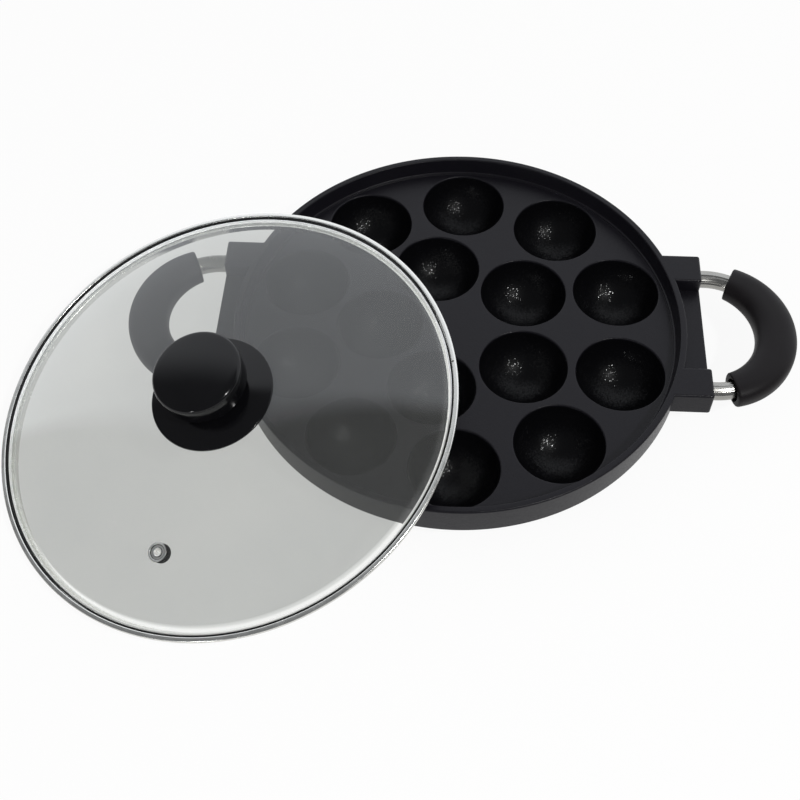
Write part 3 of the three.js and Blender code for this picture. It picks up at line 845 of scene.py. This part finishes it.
vent = {
    "circle": 82.4,
    "angle": -103.8,
    "flange": 4.75,
    "tube": 2.6,
    "bore": 1.5,
    "tail": 1.6,
    "ringTop": 0.9,
    "ringSide": 0.7,
    "ringWidth": 0.9,
    "sunkHeight": 0.25,
    "sunkInset": 1.3,
    "collarWidth": 0.6,
    "collarFoot": 1.0,
    "collarSide": 0.6,
    "drillDepth": 8.0,
    "drillSegments": 48,
    "segments": 64,
    # the dark rings of painted shade start at this radius and repeat this far apart
    "shadeRingFrom": 2.35,
    "shadeRingSpacing": 1.2,
    "shadeRingSpan": (0.3, 0.9),
    "rough": (0.28, 0.45),  # clean and in the rings of painted shade
}
# the eyelet stands square on the dome, whose slope there is rise x curve x share ^ (curve - 1)
ventShare = vent["circle"] / glass["radius"]
ventSlope = math.atan(glass["rise"] * glass["curve"] * ventShare ** (glass["curve"] - 1) / glass["radius"])
ventTurn = np.array(
    Matrix.Rotation(math.radians(vent["angle"]), 3, "Z") @ Matrix.Rotation(ventSlope, 3, "Y")
)
ventPlace = np.array(Matrix.Rotation(math.radians(vent["angle"]), 3, "Z")) @ np.array(
    [vent["circle"], 0, glassTop(vent["circle"])]
)


def onVent(points):
    # from the vent's own axis, turned with the dome's slope, to the leaning lid
    return onLid(points @ ventTurn.T + ventPlace)


def lidGlass():
    # two domes a wall apart, joined by a rounded edge, with holes for the knob and the vent
    radius = np.linspace(glass["bore"], glass["radius"] - glass["edge"], glass["steps"])
    upper = np.stack([radius, glassTop(radius)], -1)
    lower = np.stack([radius, glassTop(radius) - glass["thickness"]], -1)
    top, bottom = upper[-1, 1], lower[-1, 1]
    turn = np.linspace(np.pi / 2, -np.pi / 2, 9)[1:-1]
    edge = np.stack(
        [
            radius[-1] + glass["edge"] * np.cos(turn),
            (top + bottom) / 2 - glass["edgeHollow"] * np.cos(turn) + (top - bottom) / 2 * np.sin(turn),
        ],
        -1,
    )
    outline = np.vstack([upper, edge, lower[::-1]])
    item = solidObject("domedGlass", onLid(turned(outline, glass["segments"])))
    wide, low, high = vent["tube"] + seatGap, -vent["drillDepth"], cutOverrun
    drill = np.array([(0, low), (wide, low), (wide, high), (0, high)])
    tool = solidObject("drill", onVent(turned(drill, vent["drillSegments"])))
    return cutOrJoin(item, [("DIFFERENCE", tool)])


lipInner = band["lipRadius"] - band["lipWidth"]
flangeTop = glass["edgeHeight"] - glass["thickness"] - seatGap
flangeBottom = flangeTop - band["sheet"]


def lidBand():
    # rolled sheet: lip, wall, flange and skirt in one outline, with a butt joint nicked in the lip
    half, sheet = band["lipHalfHeight"], band["sheet"]
    outline = softCorners(
        [
            (band["skirtInnerRadius"], -band["skirtDepth"], 0.3),
            (band["skirtInnerRadius"] + sheet, -band["skirtDepth"], 0.3),
            (band["skirtInnerRadius"] + sheet, flangeBottom, 0.5),
            (lipInner + sheet, flangeBottom, 0.6),
            (lipInner + sheet, -half, 0.3),
            (band["lipRadius"], -half, 0.7),
            (band["lipRadius"], half, 1.0),
            (lipInner, half, 0.6),
            (lipInner, flangeTop, 0.3),
            (band["skirtInnerRadius"], flangeTop, 0.6),
        ]
    )
    middle = math.radians(band["jointAngle"])
    halfJoint = band["jointWidth"] / 2 / band["lipRadius"]
    spread = np.array(band["jointStations"]) * halfJoint
    even = np.linspace(0, 2 * np.pi, band["segments"], endpoint=False)[1:]
    angles = middle + np.concatenate([spread, even, 2 * np.pi - spread[::-1]])
    grid = turned(outline, angles=angles)
    inJoint = np.abs((angles - middle + np.pi) % (2 * np.pi) - np.pi) < halfJoint
    # the nick fades out downwards from the lip's top and stays near its inner edge
    raised = np.clip((grid[..., 2] - half + band["jointFade"]) / band["jointFade"], 0, 1)
    nearEdge = (outline[:, 0] < lipInner + band["jointReach"])[:, None]
    grid[..., 2] -= band["jointDepth"] * raised * nearEdge * inJoint[None, :]
    return solidObject("steelBand", onLid(grid))


def lidSeal():
    # a soft ring between the glass's edge and the band, round on top
    outer = lipInner - seatGap
    inner = outer - band["sealWidth"]
    low, high = flangeTop + seatGap, glass["edgeHeight"] + band["sealProud"]
    outline = softCorners(
        [(inner, low, 0.1), (outer, low, 0.1), (outer, high, 0.22), (inner, high, 0.22)], 5
    )
    return solidObject("edgeSeal", onLid(turned(outline, band["sealSegments"])))


def stampedEyelet():
    # stainless steel, stamped in steps: bright rings, and dark rings of painted shade for the shade in the
    # steps, where cos(2 pi (radius - first ring) / ring spacing) passes through the shade's span
    material, tree, place = newMaterial("stampedStainlessEyelet")
    middle = tuple(onVent(np.array([0.0, 0.0, vent["ringTop"]])))
    away = vectorStep(tree, "DISTANCE", place, middle, result="Value")
    turns = 2 * math.pi / vent["shadeRingSpacing"]
    phase = calculate(tree, "MULTIPLY_ADD", away, turns / mm, -turns * vent["shadeRingFrom"])
    wave = calculate(tree, "COSINE", phase)
    # painted shade: dark rings on the stepped flange
    ringShade = ranged(tree, wave, vent["shadeRingSpan"], unit)
    principledSurface(
        tree,
        {
            "Metallic": 1.0,
            "Base Color": blend(tree, ringShade, "#f0f0ec", "#1b1b1a"),
            "Roughness": ranged(tree, ringShade, unit, vent["rough"]),
        },
    )
    return material


def ventEyelet():
    # a rolled tube with a stepped flange: raised outer ring, sunk middle, raised collar
    tail = -glass["thickness"] - vent["tail"]
    outline = softCorners(
        [
            (vent["bore"], tail, 0.2),
            (vent["tube"] - seatGap, tail, 0.2),
            (vent["tube"] - seatGap, seatGap, 0),
            (vent["flange"], seatGap, 0.15),
            (vent["flange"], seatGap + vent["ringSide"], 0.3),
            (vent["flange"] - vent["ringWidth"], seatGap + vent["ringTop"], 0.3),
            (vent["flange"] - vent["sunkInset"], seatGap + vent["sunkHeight"], 0.12),
            (vent["bore"] + vent["collarFoot"], seatGap + vent["sunkHeight"], 0.12),
            (vent["bore"] + vent["collarWidth"], seatGap + vent["ringTop"], 0.2),
            (vent["bore"], seatGap + vent["collarSide"], 0.3),
        ],
        4,
    )
    return solidObject("ventEyelet", onVent(turned(outline, vent["segments"])))


def flatRing(name, inner, outer, low, high, place, soften=0.12, segments=72):
    # a flat section with broken edges, turned round the knob's or the vent's axis
    section = ((inner, low), (outer, low), (outer, high), (inner, high))
    outline = softCorners([(*corner, soften) for corner in section], 3)
    return solidObject(name, place(turned(outline, segments)))


finishPiece(lidGlass(), "lid", ["lid_glass"], lidGlassMaterial, weighted=False)
finishPiece(lidBand(), "lid", ["lid_band"], bandSteel, 40)
finishPiece(lidSeal(), "lid", ["lid_seal"], rubber)
finishPiece(ventEyelet(), "lid", ["vent_eyelet"], stampedEyelet())
ventLow = -glass["thickness"] - seatGap - band["sheet"]
ventRing = flatRing("ventWasher", vent["tube"], vent["flange"], ventLow, ventLow + band["sheet"], onVent)
finishPiece(ventRing, "lid", ["vent_washer"], shadedWasherSteel)
print("glass and band made")


knob = {
    "guardRadius": 31.4,
    "guardEdge": 1.2,
    "guardRise": 4.2,
    "guardSeat": 10.0,
    "guardBore": 5.2,
    "radius": 22.6,
    "neck": 13.4,
    "foot": 15.0,
    "neckHeight": 5.4,
    "sideHeight": 13.1,
    "sideTaper": 1.0,
    "bevel": 2.4,
    "topBevel": 1.1,
    "crown": 0.8,
    "dome": 1.9,
    "domeTo": 18.5,
    "topRound": 2.2,
    "segments": 160,
}
clamp = {
    "gasketRadius": 9.0,
    "gasketThickness": 1.0,
    "washerRadius": 8.0,
    "washerThickness": 1.0,
    "screw": 2.4,
    "head": 4.6,
    "headHeight": 2.6,
    "screwReach": 12.0,
    "insert": 4.4,
    "insertHeight": 14.0,
    "thread": 0.35,
    "socket": 1.3,
    "segments": 64,
}
crown = glassTop(0)
gasketLow = crown + seatGap
guardSeatHeight = gasketLow + clamp["gasketThickness"] + seatGap
guardEdgeLow = glassTop(knob["guardRadius"]) + seatGap
guardTop = guardEdgeLow + knob["guardEdge"] + knob["guardRise"]
knobLow = guardTop + seatGap
insertTop = guardSeatHeight + clamp["insertHeight"]
lowerGasket = glassTop(clamp["gasketRadius"]) - glass["thickness"] - seatGap - clamp["gasketThickness"]
washerLow = lowerGasket - seatGap - clamp["washerThickness"]
headTop = washerLow - seatGap


def knobGuard():
    # a shallow cone with a rounded edge and a small collar under the head
    edge = knob["guardEdge"]
    sealRing = knob["guardSeat"] + edge
    outline = softCorners(
        [
            (knob["guardBore"], guardSeatHeight, 0.2),
            (knob["guardSeat"], guardSeatHeight, 0.3),
            (sealRing, glassTop(sealRing) + edge, 0.5),
            (knob["guardRadius"] - edge, glassTop(knob["guardRadius"] - edge) + edge / 2, 0.4),
            (knob["guardRadius"], guardEdgeLow, 0.25),
            (knob["guardRadius"], guardEdgeLow + edge, 0.5),
            (knob["foot"] + edge, guardTop - edge / 2, 0.8),
            (knob["foot"], guardTop, 0.4),
            (knob["guardBore"], guardTop, 0.2),
        ]
    )
    return solidObject("knobGuard", onLid(turned(outline, knob["segments"])))


def knobHead():
    # mushroom head: waisted neck, side that widens upwards, wide round top edge, and a crown that
    # falls with the square of the distance from its middle
    bore = clamp["insert"] + seatGap
    neckTop = knobLow + knob["neckHeight"]
    sideTop = neckTop + knob["sideHeight"]
    lower = knob["radius"] - knob["sideTaper"]
    top = sideTop + knob["topBevel"] + knob["crown"]
    crownRadius = np.linspace(knob["domeTo"], 0, 10)
    crownHeight = top - knob["dome"] * (crownRadius / knob["radius"]) ** 2
    edgeHeight = top - knob["dome"]
    crownPoints = [(r, z, 0) for r, z in zip(crownRadius, crownHeight)]
    outline = softCorners(
        [
            (bore, knobLow, 0.3),
            (knob["foot"] - knob["guardEdge"], knobLow, 0.4),
            (knob["neck"], knobLow + knob["neckHeight"] / 4, 1.5),
            (knob["neck"], neckTop - knob["neckHeight"] / 3, 1.2),
            (knob["neck"] + knob["bevel"], neckTop, 1.0),
            (lower, neckTop, 0.9),
            (knob["radius"], edgeHeight, knob["topRound"]),
            *crownPoints,
            (0, insertTop + seatGap, 0),
            (bore, insertTop + seatGap, 0.2),
        ],
        8,
    )
    return solidObject("knobHead", onLid(turned(outline, knob["segments"])))


def knobInsert():
    # threaded brass cup moulded into the head
    thread = clamp["screw"] + clamp["thread"]
    wall = clamp["insert"] - thread
    outline = softCorners(
        [
            (thread, guardSeatHeight, 0.1),
            (clamp["insert"], guardSeatHeight, 0.2),
            (clamp["insert"], insertTop, 0.2),
            (0, insertTop, 0),
            (0, insertTop - wall, 0),
            (thread, insertTop - wall, 0),
        ],
        3,
    )
    return solidObject("knobInsert", onLid(turned(outline, clamp["segments"])))


def knobScrew():
    # domed head below the glass, with a drilled socket
    low = headTop - clamp["headHeight"]
    outline = softCorners(
        [
            (0, low + clamp["socket"], 0),
            (clamp["socket"], low + clamp["socket"], 0),
            (clamp["socket"], low, 0.2),
            (clamp["head"] - 0.2, low, 1.2),
            (clamp["head"], headTop, 0.15),
            (clamp["screw"], headTop, 0),
            (clamp["screw"], crown + clamp["screwReach"], 0.4),
            (0, crown + clamp["screwReach"], 0),
        ],
        5,
    )
    return solidObject("knobScrew", onLid(turned(outline, clamp["segments"])))


finishPiece(knobGuard(), "lid", ["knob_guard"], knobResin)
finishPiece(knobHead(), "lid", ["knob_head"], knobResin, weighted=False)
finishPiece(knobInsert(), "lid", ["knob_insert"], turnedBrass)
finishPiece(knobScrew(), "lid", ["knob_screw"], fastenerSteel)
hole = clamp["screw"] + clamp["thread"]
for name, node, kind, low, slotName, material in (
    ("gasketUpper", "knob_gasket_upper", "gasket", gasketLow, "black_rubber", rubber),
    ("gasketLower", "knob_gasket_lower", "gasket", lowerGasket, "black_rubber", rubber),
    ("knobWasher", "knob_washer", "washer", washerLow, "polished_steel", fastenerSteel),
):
    ring = flatRing(name, hole, clamp[f"{kind}Radius"], low, low + clamp[f"{kind}Thickness"], onLid)
    finishPiece(ring, "lid", [node], material)
print("knob made")


studio = {
    "floorSize": 6.0,
    "floorGlow": 0.92,
    "floorTone": "#efefee",
    "skyBright": 1.42,
    "skyDim": 0.22,
    "skyColour": "#f5f8fd",
    "skyRoof": (0.92, 0.962),
    "skyBehind": (0.2, 0.98, 0.0),
    "skyEdge": (0.12, 0.42),
    "skyOnMatt": 0.6,
    "keyDirection": (0.435, -0.445, 0.783),
    "keyDistance": 1.6,
    "keySize": 0.12,
    "keyPower": 10.0,
    "roomDirection": (-0.417, -0.861, 0.251),
    "roomPower": 1.8,
    "lens": 53.77,
    "sensor": 36.0,
    "cameraFromPan": (0.35, -398.84, 533.33),
    "cameraRight": (0.99820, 0.05699, -0.01846),
    "cameraUp": (-0.03643, 0.82208, 0.56820),
    "cameraForward": (-0.04756, 0.56651, -0.82268),
}


def paleFloor():
    # matt pale floor that shows mostly its own white to the camera, to steel and through glass
    material, tree, _ = newMaterial("paleFloorPaper")
    matt = addNode(tree, "ShaderNodeBsdfDiffuse", {"Color": studio["floorTone"]}).outputs["BSDF"]
    glow = addNode(tree, "ShaderNodeEmission", {"Color": "#ffffff", "Strength": 1.0}).outputs["Emission"]
    rays = addNode(tree, "ShaderNodeLightPath").outputs
    direct = calculate(tree, "MAXIMUM", rays["Is Camera Ray"], rays["Is Glossy Ray"])
    seen = calculate(tree, "MAXIMUM", direct, rays["Is Transmission Ray"])
    share = calculate(tree, "MULTIPLY", seen, studio["floorGlow"])
    addNode(tree, "ShaderNodeOutputMaterial", {"Surface": mixShaders(tree, share, matt, glow)})
    half = studio["floorSize"] / 2
    mesh = bpy.data.meshes.new("floor")
    corners = [(-half, -half, 0), (half, -half, 0), (half, half, 0), (-half, half, 0)]
    mesh.from_pydata(corners, [], [(0, 1, 2, 3)])
    mesh.materials.append(material)
    floor = shapeObject("floor", mesh)


def softSky():
    # white to the camera and through glass; in reflections a bright half circle behind the object,
    # dim overhead and in front; even on matt surfaces
    world = bpy.data.worlds.new("studioSky")
    bpy.context.scene.world = world
    world.use_nodes = True
    tree = world.node_tree
    tree.nodes.clear()
    direction = addNode(tree, "ShaderNodeTexCoord").outputs["Generated"]
    height = addNode(tree, "ShaderNodeSeparateXYZ", {0: direction}).outputs["Z"]
    soft = {"interpolation_type": "SMOOTHSTEP"}
    below = ranged(tree, height, studio["skyRoof"], (1.0, 0.0), **soft)
    towards = vectorStep(tree, "DOT_PRODUCT", direction, studio["skyBehind"], result="Value")
    behind = ranged(tree, towards, studio["skyEdge"], unit, **soft)
    share = calculate(tree, "MULTIPLY", below, behind)
    strength = ranged(tree, share, unit, (studio["skyDim"], studio["skyBright"]))
    matt, shiny, plain = (
        addNode(tree, "ShaderNodeBackground", {"Strength": power, "Color": tone}).outputs["Background"]
        for power, tone in (
            (studio["skyOnMatt"], "#ffffff"),
            (strength, studio["skyColour"]),
            (1.0, "#ffffff"),
        )
    )
    rays = addNode(tree, "ShaderNodeLightPath").outputs
    reflected = mixShaders(tree, rays["Is Glossy Ray"], matt, shiny)
    seen = calculate(tree, "MAXIMUM", rays["Is Camera Ray"], rays["Is Transmission Ray"])
    addNode(tree, "ShaderNodeOutputWorld", {"Surface": mixShaders(tree, seen, reflected, plain)})


def areaLamp(name, direction, distance, size, power):
    # a round lamp this far from the pan's centre, facing it
    lamp = bpy.data.lights.new(name, "AREA")
    lamp.shape = "DISK"
    lamp.size = size
    lamp.energy = power
    item = bpy.data.objects.new(name, lamp)
    bpy.context.scene.collection.objects.link(item)
    aim = Vector(direction).normalized()
    item.location = Vector(panCentre.tolist()) + aim * distance
    item.rotation_mode = "QUATERNION"
    item.rotation_quaternion = aim.to_track_quat("Z", "Y")


def photoCamera():
    # the photograph's camera, fitted to the rim, the cups and the handles
    data = bpy.data.cameras.new("camera")
    data.lens = studio["lens"]
    data.sensor_width = studio["sensor"]
    camera = bpy.data.objects.new("camera", data)
    bpy.context.scene.collection.objects.link(camera)
    right, up, forward = (Vector(studio[k]) for k in ("cameraRight", "cameraUp", "cameraForward"))
    place = Vector(onPan(np.array(studio["cameraFromPan"])).tolist())
    turn = Matrix((right, up, -forward)).transposed()
    camera.matrix_world = Matrix.Translation(place) @ turn.to_4x4()
    bpy.context.scene.camera = camera


paleFloor()
softSky()
for lampName in ("key", "room"):
    areaLamp(
        f"{lampName}Lamp",
        studio[f"{lampName}Direction"],
        studio["keyDistance"],
        studio["keySize"],
        studio[f"{lampName}Power"],
    )
photoCamera()
bpy.context.scene.view_settings.view_transform = "Standard"
print("studio made")
